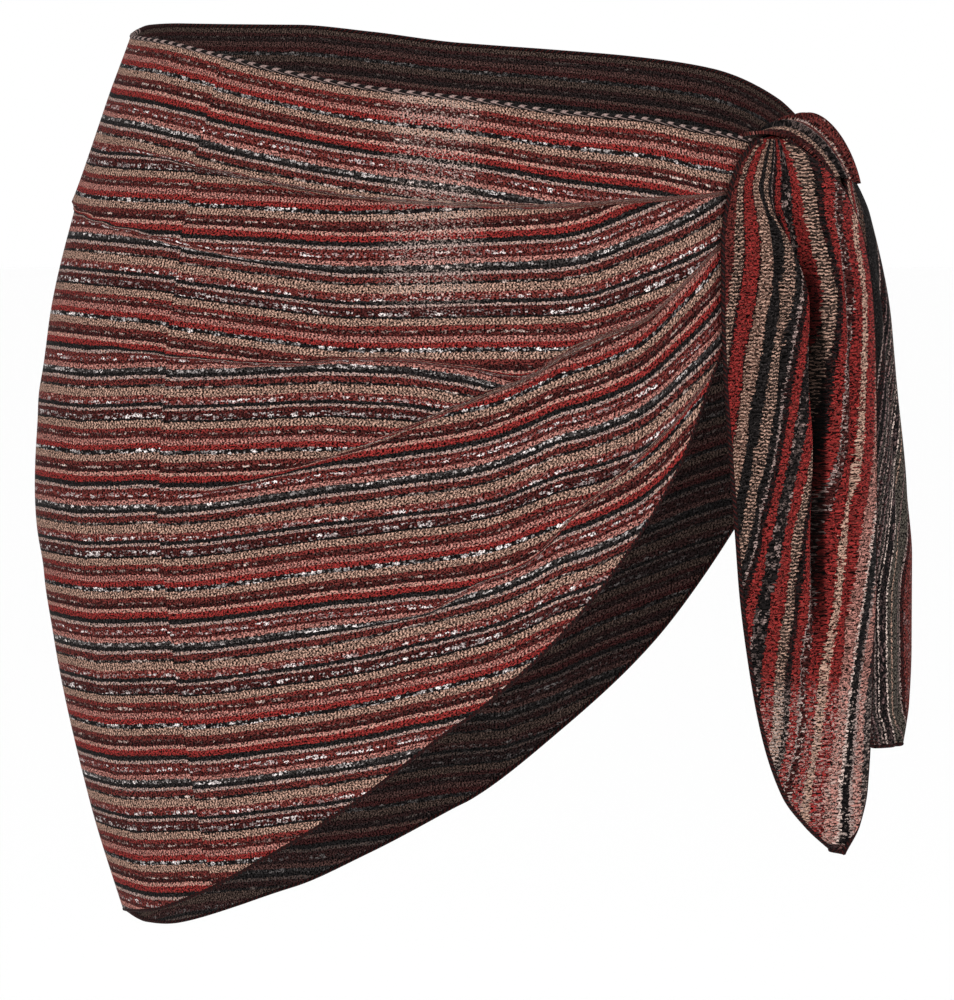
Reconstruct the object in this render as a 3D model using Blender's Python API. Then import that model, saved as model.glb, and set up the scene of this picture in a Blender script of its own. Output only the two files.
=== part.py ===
"""Sarong wrap skirt in its worn shape, with no wearer in it, tied at the wearer's left hip.

The cloth lies on a general hip form. A point of the form is given by its angle round the body in
degrees (0 at the knot side, 90 at the front, 180 at the far side, 270 at the back), its height in
millimetres above the waist point, and how far it stands out from the form. The wearer faces -Y,
the knot is at +X and +Z is up. The origin is the middle of the waist opening.
"""

import math

import bmesh
import bpy

MM = 0.001

# Cloth
CLOTH = 2.0             # thickness of the knitted cloth
SEAM_GAP = 0.3          # clear gap between pieces that meet
LAYER_GAP = 0.7         # clear gap between a layer and the one over it

# Where the pieces end round the body, in degrees
SEAM_ANGLE = 131.5      # the one seam, on the far front side
KNOT_FRONT_ANGLE = 37.0     # the front panel's end at the knot
KNOT_BACK_ANGLE = 348.0     # the back panel's end at the knot

ROUNDNESS = 2.15        # superellipse exponent of the form's cross-section
HANG_HEIGHT = -180.0    # the hip's widest place, below which the tails fall straight

# Hip form. Columns: height, half width on the far side, half width on the knot side,
# half depth in front, half depth behind
FORM = (
    (30, 139.5, 138, 97, 98),
    (20, 142.5, 140, 98, 100),
    (-10, 153.5, 148, 100, 104),
    (-50, 166, 157, 103, 110),
    (-110, 180, 168, 108, 119),
    (-180, 186.2, 174, 113, 127),
    (-247, 178, 168, 112, 121),
    (-317, 163, 155, 106, 110),
    (-375, 145.5, 140, 99, 100),
)

# Edges of the wrap, from the knot round the front, far side and back to the knot.
# Columns: angle, height of the waist edge, height of the hem
EDGES = (
    (37, -28, -78),
    (45, -25, -98),
    (51, -23, -118),
    (60, -19, -166),
    (75, -16, -228),
    (90, -10, -272),
    (105, -5, -308),
    (120, 2, -332),
    (135, 9, -349),
    (150, 14, -359),
    (180, 18, -367),
    (195, 22, -376),
    (210, 23, -380),
    (240, 23, -369),
    (255, 20, -355),
    (270, 15, -333),
    (285, 12, -299),
    (300, 9, -258),
    (320, 3, -183),
    (340, -10, -108),
    (348, -17, -84),
)

# Tucks that fan out from the knot, four across the front and two like them behind.
# Columns: how far the cloth is lifted, then the line as (angle, height) points
TUCKS = (
    (2.2, ((51, -51), (70, -54), (85, -55), (104, -51), (125, -41), (144, -32), (160, -28))),
    (1.6, ((117, -79), (128, -73), (139, -68), (157, -61), (173, -56))),
    (1.4, ((83, -129), (97, -123), (110, -120), (121, -116))),
    (2.0, ((50, -74), (53, -82), (65, -103), (77, -117), (82, -129), (88, -136), (99, -153))),
    (1.7, ((244, -34), (262, -44), (285, -48), (310, -45), (334, -40))),
    (1.9, ((276, -158), (292, -132), (308, -108), (322, -88), (338, -66))),
)
TUCK_HALF_WIDTH = 7.0

# Bunched necks inside the knot: a rounded lump, oval in the cut across the cloth's run
CORE_OUT = 3.0          # how far its middle stands out from the form
CORE_HEIGHT = -49.0     # height of its middle on the knot side
CORE_DROP = 4.0         # how much lower its middle is where it meets the front panel
CORE_HALF_OUT = 11.0
CORE_HALF_HIGH = 28.5
CORE_END_HALF_OUT = 5.0     # where it meets the panels' ends
CORE_END_HALF_HIGH = 26.0
CORE_START = -11.8      # angles of its two ends, inside the panels' ends by the seam gap
CORE_END = 36.8

# Pleated turn of cloth over the knot, from inside the waist over the top to its lower edge
BAND_THICKNESS = 3.0
BAND_PLEAT = 0.8        # height of the pleats
BAND_PLEATS = 5
BAND_TOP_TURN = 150.0   # where it starts round the core's cut, in degrees from straight out
# Columns: angle round the body, where its lower edge lies round the core's cut
BAND_EDGE = (
    (-11, 2),
    (0, 4),
    (8, 6),
    (17, 18),
    (24, 32),
    (30, 44),
)

# Front tail, widest below the knot, pointed at its tip. Columns: height, left edge x, right edge x
FRONT_TAIL = (
    (-27, 121, 131),
    (-32, 114, 143),
    (-40, 112, 153),
    (-50, 111, 162),
    (-70, 111, 171),
    (-100, 111, 175),
    (-180, 116, 176),
    (-250, 123, 175),
    (-285, 130, 175),
    (-315, 142, 174),
    (-328, 154, 170),
    (-333, 160, 166),
)
FRONT_TAIL_EDGE_OUT = 3.4
FRONT_TAIL_SIDE_OUT = 14.0
# Folds down the front tail. Columns: place across its width, height, half width as a share
FRONT_TAIL_FOLDS = (
    (0.13, 8.0, 0.11),
    (0.48, 10.0, 0.13),
    (0.88, 4.0, 0.11),
)

# Rear tail, a hanging arch. Columns: height, how far its crest stands out, front and back angle
REAR_TAIL = (
    (-48, 17.5, 17, -9),
    (-60, 19.0, 14.5, -12),
    (-100, 20.5, 15, -16),
    (-140, 19.5, 19, -18),
    (-180, 21.0, 21, -19),
    (-210, 23.5, 21, -19),
    (-250, 23.5, 20, -17),
    (-275, 22.5, 18, -13),
    (-292, 20.0, 12, -5),
)
REAR_TAIL_EDGE_OUT = 8.0
REAR_TAIL_CREASE = (0.68, 3.5, 0.07)    # place across its width, depth, half width as a share


def curve(table, column, x):
    """Smooth monotone curve of a table's column against its first column, rising or falling."""
    rows = sorted(table)
    last = len(rows) - 1
    if x <= rows[0][0]:
        return rows[0][column]
    if x >= rows[last][0]:
        return rows[last][column]
    steps = [rows[i + 1][0] - rows[i][0] for i in range(last)]
    slopes = [(rows[i + 1][column] - rows[i][column]) / steps[i] for i in range(last)]
    tangents = [slopes[0]]
    for before, after in zip(slopes, slopes[1:]):
        tangents.append(2 * before * after / (before + after) if before * after > 0 else 0.0)
    tangents.append(slopes[-1])
    i = max(k for k in range(last) if rows[k][0] <= x)
    t = (x - rows[i][0]) / steps[i]
    return ((2 * t**3 - 3 * t**2 + 1) * rows[i][column]
            + (t**3 - 2 * t**2 + t) * steps[i] * tangents[i]
            + (3 * t**2 - 2 * t**3) * rows[i + 1][column]
            + (t**3 - t**2) * steps[i] * tangents[i + 1])


def blend(low, high, x):
    """Smooth step from 0 at low to 1 at high."""
    t = min(max((x - low) / (high - low), 0.0), 1.0)
    return t * t * (3 - 2 * t)


def spaced(low, high, count):
    """Evenly spaced values from low to high."""
    return [low + (high - low) * k / (count - 1) for k in range(count)]


def form_point(angle, height, out):
    """Point in millimetres on the hip form, stood off by out."""
    cosine = math.cos(math.radians(angle))
    sine = math.sin(math.radians(angle))
    half_width = curve(FORM, 2 if cosine > 0 else 1, height) + out
    half_depth = curve(FORM, 3 if sine > 0 else 4, height) + out
    x = math.copysign(half_width * abs(cosine) ** (2 / ROUNDNESS), cosine)
    y = math.copysign(half_depth * abs(sine) ** (2 / ROUNDNESS), -sine)
    return (x, y, height)


def tail_point(angle, height, out):
    """Point on a tail: it follows the form down to the hip's widest place, then falls straight."""
    x, y, _ = form_point(angle, max(height, HANG_HEIGHT), out)
    return (x, y, height)


def tail_angle(x, height, out):
    """Angle on the knot side's front where a tail that stands off by out reaches x."""
    reach = curve(FORM, 2, max(height, HANG_HEIGHT)) + out
    return math.degrees(math.acos(min(x / reach, 1.0) ** (ROUNDNESS / 2)))


def tuck_relief(angle, height):
    """How far the tucks lift the cloth here."""
    relief = 0.0
    for lift, line in TUCKS:
        first = line[0][0]
        last = line[-1][0]
        if first - 8 < angle < last + 8:
            ends = blend(first - 8, first + 4, angle) * (1 - blend(last - 6, last + 8, angle))
            rise = (height - curve(line, 1, angle)) / TUCK_HALF_WIDTH
            relief += lift * ends * math.exp(-rise * rise)
    return relief * blend(56, 66, angle) * (1 - blend(328, 342, angle))


def core_swell(angle):
    """1 in the middle of the core, 0 where it meets the panels."""
    return blend(CORE_START, 1, angle) * (1 - blend(25, CORE_END, angle))


def core_sizes(angle):
    """Half size outwards, half height and height of the middle of the core's cut."""
    swell = core_swell(angle)
    half_out = CORE_END_HALF_OUT + (CORE_HALF_OUT - CORE_END_HALF_OUT) * swell
    half_high = CORE_END_HALF_HIGH + (CORE_HALF_HIGH - CORE_END_HALF_HIGH) * swell
    middle = CORE_HEIGHT - CORE_DROP * blend(15, CORE_END, angle)
    return half_out, half_high, middle


def core_point(angle, turn, grow):
    """Point on the core's cut at one angle, turn degrees round from straight out, grown outwards."""
    half_out, half_high, middle = core_sizes(angle)
    out = CORE_OUT + (half_out + grow) * math.cos(math.radians(turn))
    height = middle + (half_high + grow) * math.sin(math.radians(turn))
    return form_point(angle, height, out)


def clear_of_core(angle, height, out):
    """The given stand-off, or more where the core is in the way."""
    half_out, half_high, middle = core_sizes(angle)
    rise = (height - middle) / half_high
    if abs(rise) >= 1 or not CORE_START - 1 < angle < CORE_END + 1:
        return out
    return max(out, CORE_OUT + half_out * math.sqrt(1 - rise * rise) + LAYER_GAP + CLOTH / 2)


def closed_wall(points_outer, points_inner):
    """Closed wall between two equal grids of points, columns first."""
    mesh = bmesh.new()
    outer = [[mesh.verts.new([c * MM for c in p]) for p in column] for column in points_outer]
    inner = [[mesh.verts.new([c * MM for c in p]) for p in column] for column in points_inner]
    for i in range(len(outer) - 1):
        for j in range(len(outer[0]) - 1):
            mesh.faces.new((outer[i][j], outer[i][j + 1], outer[i + 1][j + 1], outer[i + 1][j]))
            mesh.faces.new((inner[i][j], inner[i + 1][j], inner[i + 1][j + 1], inner[i][j + 1]))
        mesh.faces.new((outer[i][0], outer[i + 1][0], inner[i + 1][0], inner[i][0]))
        mesh.faces.new((outer[i][-1], inner[i][-1], inner[i + 1][-1], outer[i + 1][-1]))
    for j in range(len(outer[0]) - 1):
        mesh.faces.new((outer[0][j], inner[0][j], inner[0][j + 1], outer[0][j + 1]))
        mesh.faces.new((outer[-1][j], outer[-1][j + 1], inner[-1][j + 1], inner[-1][j]))
    return mesh


def add_piece(name, mesh, colour, roughness):
    """Make the object, with its faces pointing out and its own material."""
    if mesh.calc_volume(signed=True) < 0:
        bmesh.ops.reverse_faces(mesh, faces=mesh.faces)
    data = bpy.data.meshes.new(name)
    mesh.to_mesh(data)
    mesh.free()
    data.shade_smooth()
    data.set_sharp_from_angle(angle=math.radians(50))
    piece = bpy.data.objects.new(name, data)
    bpy.context.scene.collection.objects.link(piece)
    material = bpy.data.materials.new(name)
    material.use_nodes = True
    shader = material.node_tree.nodes["Principled BSDF"]
    shader.inputs["Base Color"].default_value = (*colour, 1.0)
    shader.inputs["Roughness"].default_value = roughness
    shader.inputs["Metallic"].default_value = 0.0
    data.materials.append(material)


def panel(name, start, end, columns, rows):
    """A stretch of the wrap on the form, from start to end degrees, waist to hem."""
    outer = []
    inner = []
    for angle in spaced(start, end, columns):
        heights = spaced(curve(EDGES, 1, angle), curve(EDGES, 2, angle), rows)
        lifts = [tuck_relief(angle, height) for height in heights]
        outer.append([form_point(angle, h, lift + CLOTH / 2) for h, lift in zip(heights, lifts)])
        inner.append([form_point(angle, h, lift - CLOTH / 2) for h, lift in zip(heights, lifts)])
    add_piece(name, closed_wall(outer, inner), (0.17, 0.045, 0.04), 0.85)


def knot_core():
    """The bunched necks, a lump between the two panels' ends."""
    mesh = bmesh.new()
    sides = 24
    rings = []
    for angle in spaced(CORE_START, CORE_END, 15):
        points = [core_point(angle, 360 * k / sides, 0.0) for k in range(sides)]
        rings.append([mesh.verts.new([c * MM for c in p]) for p in points])
    for ring, following in zip(rings, rings[1:]):
        for k in range(sides):
            after = (k + 1) % sides
            mesh.faces.new((ring[k], ring[after], following[after], following[k]))
    mesh.faces.new(rings[0][::-1])
    mesh.faces.new(rings[-1])
    add_piece("knot_core", mesh, (0.05, 0.02, 0.02), 0.9)


def knot_band():
    """The pleated turn that lies over the top and outside of the core."""
    outer = []
    inner = []
    low = BAND_EDGE[0][0]
    high = BAND_EDGE[-1][0]
    for angle in spaced(low, high, 31):
        pleat = BAND_PLEAT * math.cos(2 * math.pi * BAND_PLEATS * (angle - low) / (high - low))
        turns = spaced(BAND_TOP_TURN, curve(BAND_EDGE, 1, angle), 13)
        outer.append([core_point(angle, turn, LAYER_GAP + BAND_THICKNESS + pleat) for turn in turns])
        inner.append([core_point(angle, turn, LAYER_GAP) for turn in turns])
    add_piece("knot_band", closed_wall(outer, inner), (0.2, 0.06, 0.05), 0.85)


def front_tail_out(place, height, angle):
    """How far the middle of the front tail's cloth stands out, its folds flatter where it is narrow."""
    out = FRONT_TAIL_EDGE_OUT + (FRONT_TAIL_SIDE_OUT - FRONT_TAIL_EDGE_OUT) * blend(0.15, 1.0, place)
    width = curve(FRONT_TAIL, 2, height) - curve(FRONT_TAIL, 1, height)
    opened = blend(5, 60, width) * (1 - 0.3 * blend(-230, -333, height))
    for middle, lift, half_width in FRONT_TAIL_FOLDS:
        out += lift * opened * math.exp(-((place - middle) / half_width) ** 2)
    return clear_of_core(angle, height, out)


def front_tail():
    """The end that hangs in front, narrow at its neck, pointed at its tip."""
    columns = 25
    outer = [[] for _ in range(columns)]
    inner = [[] for _ in range(columns)]
    top = FRONT_TAIL[0][0]
    tip = FRONT_TAIL[-1][0]
    for step in spaced(0.0, 1.0, 25):
        height = top + (tip - top) * (0.35 * step**2 + 0.65 * step)
        start = tail_angle(curve(FRONT_TAIL, 1, height), height, FRONT_TAIL_EDGE_OUT)
        end = tail_angle(curve(FRONT_TAIL, 2, height), height, FRONT_TAIL_SIDE_OUT + CLOTH)
        for i, angle in enumerate(spaced(start, end, columns)):
            out = front_tail_out(i / (columns - 1), height, angle)
            outer[i].append(tail_point(angle, height, out + CLOTH / 2))
            inner[i].append(tail_point(angle, height, out - CLOTH / 2))
    add_piece("front_tail", closed_wall(outer, inner), (0.19, 0.06, 0.05), 0.85)


def rear_tail_out(place, height, angle):
    """How far the middle of the rear tail's cloth stands out."""
    reach = curve(REAR_TAIL, 1, height)
    arch = max(math.sin(math.pi * place), 0.0) ** 0.7
    middle, depth, half_width = REAR_TAIL_CREASE
    crease = depth * blend(-60, -120, height) * math.exp(-((place - middle) / half_width) ** 2)
    return clear_of_core(angle, height, REAR_TAIL_EDGE_OUT + (reach - REAR_TAIL_EDGE_OUT) * arch - crease)


def rear_tail():
    """The end that hangs behind the first, at the side of the hip."""
    columns = 17
    outer = [[] for _ in range(columns)]
    inner = [[] for _ in range(columns)]
    for height in spaced(REAR_TAIL[0][0], REAR_TAIL[-1][0], 21):
        start = curve(REAR_TAIL, 2, height)
        end = curve(REAR_TAIL, 3, height)
        for i, angle in enumerate(spaced(start, end, columns)):
            out = rear_tail_out(i / (columns - 1), height, angle)
            outer[i].append(tail_point(angle, height, out + CLOTH / 2))
            inner[i].append(tail_point(angle, height, out - CLOTH / 2))
    add_piece("rear_tail", closed_wall(outer, inner), (0.16, 0.08, 0.08), 0.85)


for old in list(bpy.data.objects):
    bpy.data.objects.remove(old, do_unlink=True)

seam_gap_angle = math.degrees(SEAM_GAP / FORM[4][1])
panel("front_panel", KNOT_FRONT_ANGLE, SEAM_ANGLE - seam_gap_angle, 37, 22)
panel("back_panel", SEAM_ANGLE + seam_gap_angle, KNOT_BACK_ANGLE, 55, 30)
knot_core()
knot_band()
front_tail()
rear_tail()
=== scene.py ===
import math

import bpy
import numpy as np
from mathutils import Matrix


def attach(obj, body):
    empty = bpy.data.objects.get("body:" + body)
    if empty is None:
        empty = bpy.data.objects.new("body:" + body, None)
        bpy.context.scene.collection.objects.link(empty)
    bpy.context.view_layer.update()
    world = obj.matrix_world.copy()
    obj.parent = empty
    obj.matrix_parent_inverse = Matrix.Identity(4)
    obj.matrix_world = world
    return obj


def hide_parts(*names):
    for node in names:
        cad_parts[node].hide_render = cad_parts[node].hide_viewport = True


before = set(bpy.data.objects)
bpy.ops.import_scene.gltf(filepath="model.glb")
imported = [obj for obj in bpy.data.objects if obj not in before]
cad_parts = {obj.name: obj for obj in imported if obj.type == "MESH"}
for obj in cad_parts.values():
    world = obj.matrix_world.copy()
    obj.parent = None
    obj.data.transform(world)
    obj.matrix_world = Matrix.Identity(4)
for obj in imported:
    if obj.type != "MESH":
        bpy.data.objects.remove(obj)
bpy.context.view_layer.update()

# The sarong's front stretch, from the side seam round the front into the knot: one layer of a
# cotton knit in lengthwise stripes, pulled round the hips so that it folds over itself in tucks
# on its way to the knot. It is seamed to the back stretch and tied at the other end.
MM = 0.001
CLOTH_OUT = 1.0             # the outer face lies this far outside the hip form
CLOTH_IN = -0.4             # the inner face
ROUNDNESS = 2.15
# Columns: height, half width far side, half width knot side, half depth front, half depth behind
HIP_FORM = (
    (30, 139.5, 138, 97, 98),
    (20, 142.5, 140, 98, 100),
    (-10, 153.5, 148, 100, 104),
    (-50, 166, 157, 103, 110),
    (-110, 180, 168, 108, 119),
    (-180, 186.2, 174, 113, 127),
    (-247, 178, 168, 112, 121),
    (-317, 163, 155, 106, 110),
    (-375, 145.5, 140, 99, 100),
)
# Columns: angle round the body, height of the waist edge, height of the hem, how much cloth hangs
# slack in each millimetre of height, 1 being a plain hang
WRAP_EDGES = (
    (37, -28, -78, 0.84),
    (45, -25, -98, 0.84),
    (51, -23, -118, 0.85),
    (60, -19, -166, 0.87),
    (75, -16, -228, 0.93),
    (90, -10, -272, 0.975),
    (105, -5, -308, 1.004),
    (120, 2, -332, 1.013),
    (135, 9, -349, 1.008),
    (150, 14, -359, 1.002),
    (180, 18, -367, 1.0),
    (195, 22, -376, 1.0),
    (210, 23, -380, 1.0),
    (240, 23, -369, 1.0),
    (255, 20, -355, 1.0),
    (270, 15, -333, 1.01),
    (285, 12, -299, 1.0),
    (300, 9, -258, 0.97),
    (320, 3, -183, 0.93),
    (340, -10, -108, 0.86),
    (348, -17, -84, 0.84),
)
# Five tucks in front and two behind. Columns: lift, 1 if the upper side lies on top or -1 if the
# lower does, then the tuck's line as (angle, height, cloth hidden in it) points
TUCKS = (
    (2.6, 1, ((44, -49, 86), (51, -51, 75), (58, -52, 64), (66, -53, 53), (74, -54.5, 42),
              (82, -55, 35), (88, -54.5, 30), (94, -53.5, 25.5), (104, -51, 19.5), (115, -46, 14.5),
              (125, -41, 10), (134, -37, 6), (142, -33, 3), (150, -30, 1), (158, -27, 0))),
    (2.2, 1, ((104, -81, 0), (117, -78, 2.5), (128, -73, 5), (139, -68, 7.2), (157, -61, 8),
              (173, -56, 6), (190, -50, 0))),
    (1.6, 1, ((66, -104, 0), (75, -115, 3.5), (83, -126, 8), (90, -122, 14), (97, -119, 18),
              (104, -119, 18.5), (110, -121, 16), (116, -121, 12.3), (122, -120, 9), (128, -119, 6.4),
              (134, -118, 4.2), (141, -116, 2), (150, -114, 0))),
    (2.8, -1, ((43, -60, 88), (50, -74, 78), (58, -90, 69), (65, -103, 60), (72, -110, 54),
               (77, -117, 49), (82, -127, 39), (88, -135, 26), (94, -145, 17), (100, -154, 11.5),
               (107, -162, 7.5), (114, -169, 4.5), (120, -174, 2.5), (127, -179, 0.8), (134, -184, 0))),
    (1.3, -1, ((50, -116, 24), (58, -140, 21), (66, -160, 17), (75, -182, 13), (82, -204, 10),
               (88, -213, 8.5), (94, -226, 5.5), (101, -231, 2), (107, -235, 0))),
    (2.2, 1, ((244, -34, 0), (262, -44, 10), (285, -48, 25), (310, -45, 42), (334, -40, 60))),
    (2.4, -1, ((276, -158, 0), (284, -145, 8), (292, -132, 20), (308, -108, 40), (322, -88, 50),
               (338, -66, 58))),
)
TUCK_SOFT_SIDE = 13.0       # how far a tuck's lift fades out on the side that lies on top
TUCK_SHARP_SIDE = 1.3       # and on the other side
# Soft creases. Columns: height of the crease, half width, then its line as (angle, height) points
CREASES = (
    (0.9, 5.0, ((72, -178), (77, -197), (85, -212), (93, -228), (104, -246))),
    (-0.8, 6.0, ((52, -62), (62, -78), (74, -90), (88, -98), (104, -104))),
    (0.7, 7.0, ((55, -108), (64, -132), (74, -152), (86, -170), (100, -190))),
    (-0.6, 8.0, ((100, -262), (118, -270), (136, -272), (156, -268))),
    (0.7, 9.0, ((128, -150), (150, -142), (172, -138), (196, -142))),
    (-0.7, 9.0, ((150, -205), (176, -212), (204, -214), (232, -206))),
    (0.8, 8.0, ((250, -230), (270, -206), (292, -174), (312, -140))),
    (-0.7, 8.0, ((214, -96), (240, -92), (268, -88), (296, -80))),
)


def column(table, index, x):
    """Smooth monotone curve of a table's column against its first column."""
    rows = np.array(sorted([row[0], row[index]] for row in table), float)
    places, values = rows[:, 0], rows[:, 1]
    x = np.clip(np.asarray(x, float), places[0], places[-1])
    steps = np.diff(places)
    slopes = np.diff(values) / steps
    before, after = slopes[:-1], slopes[1:]
    same_way = before * after > 0
    middle = np.where(same_way, 2 * before * after / np.where(same_way, before + after, 1.0), 0.0)
    tangents = np.concatenate(([slopes[0]], middle, [slopes[-1]]))
    i = np.clip(np.searchsorted(places, x, side="right") - 1, 0, len(steps) - 1)
    t = (x - places[i]) / steps[i]
    return ((2 * t**3 - 3 * t**2 + 1) * values[i]
            + (t**3 - 2 * t**2 + t) * steps[i] * tangents[i]
            + (3 * t**2 - 2 * t**3) * values[i + 1]
            + (t**3 - t**2) * steps[i] * tangents[i + 1])


def blend(low, high, x):
    """Smooth step from 0 at low to 1 at high."""
    t = np.clip((np.asarray(x, float) - low) / (high - low), 0.0, 1.0)
    return t * t * (3 - 2 * t)


def bump(x, half_width):
    """Round hump of height 1 about 0."""
    return np.exp(-(x / half_width) ** 2)


def hip_points(angle, height, out):
    """Points in millimetres on the hip form, stood off by out."""
    cosine = np.cos(np.radians(angle))
    sine = np.sin(np.radians(angle))
    half_width = np.where(cosine > 0, column(HIP_FORM, 2, height), column(HIP_FORM, 1, height)) + out
    half_depth = np.where(sine > 0, column(HIP_FORM, 3, height), column(HIP_FORM, 4, height)) + out
    x = np.copysign(half_width * np.abs(cosine) ** (2 / ROUNDNESS), cosine)
    y = np.copysign(half_depth * np.abs(sine) ** (2 / ROUNDNESS), -sine)
    return np.stack([x, y, height + 0 * x], axis=-1)


def wrap_relief(angle, height):
    """How far tucks and creases lift the wrap, and how much cloth the tucks have hidden above here."""
    relief = np.zeros_like(height)
    hidden = np.zeros_like(height)
    for lift, side, line in TUCKS:
        first, last = line[0][0], line[-1][0]
        ends = blend(first - 8, first + 4, angle) * (1 - blend(last - 8, last + 8, angle))
        above = (height - column(line, 1, angle)) * side
        fold = np.where(above > 0, np.exp(-np.abs(above) / TUCK_SOFT_SIDE), bump(above, TUCK_SHARP_SIDE))
        relief += lift * ends * fold * blend(55, 66, angle) * (1 - blend(328, 342, angle))
        inside = (angle > first - 20) & (angle < last + 20)
        hidden += inside * column(line, 2, angle) * blend(1.0, -1.0, above * side)
    for lift, half_width, line in CREASES:
        first, last = line[0][0], line[-1][0]
        ends = blend(first - 6, first + 6, angle) * (1 - blend(last - 8, last + 8, angle))
        relief += lift * ends * bump(height - column(line, 1, angle), half_width)
    return relief, hidden


def hanging_cloth(angle, height):
    """Flat cloth between the waist edge and this height, without what the tucks hide."""
    edge = column(WRAP_EDGES, 1, angle)
    drop = 1.08 * (edge - height) + 11 * (np.exp(edge / 100) - np.exp(height / 100))
    return column(WRAP_EDGES, 3, angle) * drop


def arc_length(points):
    """Distance along each run of points, from its start."""
    steps = np.linalg.norm(np.diff(points, axis=0), axis=-1)
    return np.concatenate((np.zeros((1,) + steps.shape[1:]), np.cumsum(steps, axis=0)))


def cloth_wall(name, outer, inner, along, across, materials, painted_fold_shade=None):
    """Closed cloth wall from two grids of points. along and across are its flat millimetres, and the last,
    optional grid is painted shade: how deep in a fold, and so how dark, each place is painted."""
    columns, rows = outer.shape[:2]
    count = columns * rows
    points = np.concatenate((outer.reshape(-1, 3), inner.reshape(-1, 3))) * MM
    index = np.arange(count).reshape(columns, rows)
    a, b, c, d = index[:-1, :-1], index[:-1, 1:], index[1:, 1:], index[1:, :-1]
    outside = np.stack([a, b, c, d], axis=-1).reshape(-1, 4)
    inside = np.stack([a, d, c, b], axis=-1).reshape(-1, 4) + count
    top, bottom, first, last = index[:, 0], index[:, -1], index[0], index[-1]
    rims = [
        np.stack([top[:-1], top[1:], top[1:] + count, top[:-1] + count], axis=-1),
        np.stack([bottom[:-1], bottom[:-1] + count, bottom[1:] + count, bottom[1:]], axis=-1),
        np.stack([first[:-1], first[:-1] + count, first[1:] + count, first[1:]], axis=-1),
        np.stack([last[:-1], last[1:], last[1:] + count, last[:-1] + count], axis=-1),
    ]
    faces = np.concatenate([outside, inside] + rims)
    facing = np.cross(points[outside[:, 1]] - points[outside[:, 0]],
                      points[outside[:, 2]] - points[outside[:, 0]])
    outward = points[outside[:, 0]] - points[outside[:, 0] + count]
    if (facing * outward).sum() < 0:
        faces = faces[:, ::-1]
    mesh = bpy.data.meshes.new(name)
    mesh.from_pydata(points.tolist(), [], faces.tolist())
    mesh.shade_smooth()
    mesh.set_sharp_from_angle(angle=math.radians(60))
    shape = (columns, rows)
    flat = np.stack([np.broadcast_to(along, shape), np.broadcast_to(across, shape)], axis=-1)
    flat = np.tile(flat.reshape(-1, 2), (2, 1)) * MM
    mesh.uv_layers.new(name="cloth").data.foreach_set("uv", flat[faces.ravel()].ravel())
    if painted_fold_shade is not None:
        # Painted shade: the fold's darkness goes onto the mesh as a point attribute for the material.
        mesh.attributes.new("painted_fold_shade", "FLOAT", "POINT").data.foreach_set("value", np.tile(painted_fold_shade.ravel(), 2))
    slots = np.zeros(len(faces), dtype=np.int32)
    slots[len(outside):2 * len(outside)] = 1
    for material in materials:
        mesh.materials.append(material)
    mesh.polygons.foreach_set("material_index", slots)
    mesh.update()
    piece = bpy.data.objects.new(name, mesh)
    bpy.context.scene.collection.objects.link(piece)
    return piece


def add_node(tree, kind, inputs, **settings):
    """One shader node with its settings, and its inputs set or linked."""
    made = tree.nodes.new(kind)
    for key, value in settings.items():
        setattr(made, key, value)
    for key, value in inputs.items():
        if isinstance(value, bpy.types.NodeSocket):
            tree.links.new(value, made.inputs[key])
        else:
            made.inputs[key].default_value = value
    return made


def calc(tree, operation, *values):
    """Result of one arithmetic step."""
    return add_node(tree, "ShaderNodeMath", dict(enumerate(values)), operation=operation).outputs[0]


def ease(tree, value, low, high, out_low=0.0, out_high=1.0):
    """Smooth step of a value between two levels."""
    inputs = {"Value": value, "From Min": low, "From Max": high, "To Min": out_low, "To Max": out_high}
    return add_node(tree, "ShaderNodeMapRange", inputs, interpolation_type="SMOOTHSTEP").outputs[0]


def yarn_noise(tree, along, across, run, rise, detail=1.0):
    """Noise with features run millimetres long and rise millimetres high in the cloth."""
    place = add_node(tree, "ShaderNodeCombineXYZ",
                     {0: calc(tree, "DIVIDE", along, run), 1: calc(tree, "DIVIDE", across, rise)})
    inputs = {"Vector": place.outputs[0], "Scale": 1.0, "Detail": detail, "Roughness": 0.6}
    return add_node(tree, "ShaderNodeTexNoise", inputs, noise_dimensions="2D").outputs[0]


# The yarns' colours
YARN = {
    "black": (0.010, 0.008, 0.008),
    "charcoal": (0.032, 0.027, 0.026),
    "wine": (0.050, 0.011, 0.010),
    "maroon": (0.135, 0.026, 0.022),
    "red": (0.225, 0.022, 0.020),
    "brown": (0.080, 0.038, 0.028),
    "moss": (0.085, 0.072, 0.058),
    "mauve": (0.210, 0.130, 0.125),
    "dun": (0.310, 0.218, 0.198),
    "tan": (0.410, 0.250, 0.190),
    "rose": (0.400, 0.178, 0.148),
    "cream": (0.560, 0.430, 0.380),
    "white": (0.800, 0.720, 0.700),
}
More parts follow.
